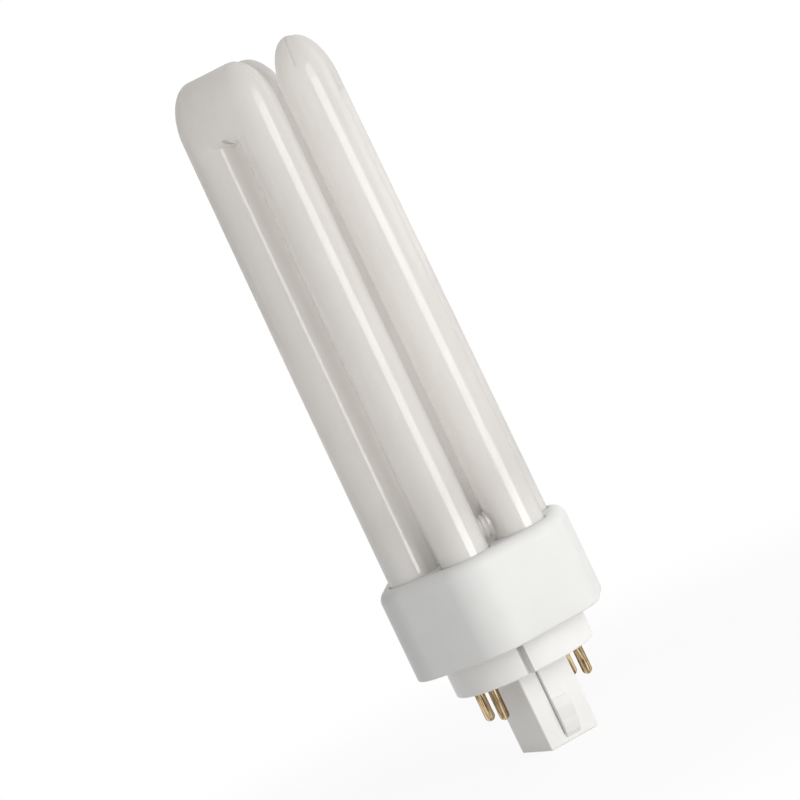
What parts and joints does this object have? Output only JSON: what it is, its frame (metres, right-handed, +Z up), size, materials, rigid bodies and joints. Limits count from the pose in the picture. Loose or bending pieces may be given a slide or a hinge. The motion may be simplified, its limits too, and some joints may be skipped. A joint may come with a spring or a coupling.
{
  "type": "four pin compact fluorescent lamp",
  "caption": "Plug-in compact fluorescent lamp: bent milky glass tubes in a triangle, a six-sided white collar, a round boss, a rectangular plug and brass pins.",
  "frame": {"origin": "middle of the plug's flat end, on which the lamp stands", "axes": "+Z up the lamp's axis towards the tops of the glass tubes; the two pairs of pins stand to the left and right along X; the boss's keyway is at the front, -Y"},
  "size_m": [0.0484, 0.0448, 0.1685],
  "materials": {
    "milky_glass": "glossy clear glass over a milky white coating",
    "collar_plastic": "satin white moulded plastic",
    "base_plastic": "smooth white moulded plastic",
    "cement": "dull cast cement",
    "pin_brass": "polished",
    "wire_copper": "drawn copper"
  },
  "bodies": {
    "root": {"discharge_tube": "milky_glass", "collar": "collar_plastic", "base_cap": "base_plastic", "tube_cement": "cement", "contact_pin_1": "pin_brass", "contact_pin_2": "pin_brass", "contact_pin_3": "pin_brass", "contact_pin_4": "pin_brass", "lead_wire_1": "wire_copper", "lead_wire_2": "wire_copper", "lead_wire_3": "wire_copper", "lead_wire_4": "wire_copper"}
  },
  "joints": []
}
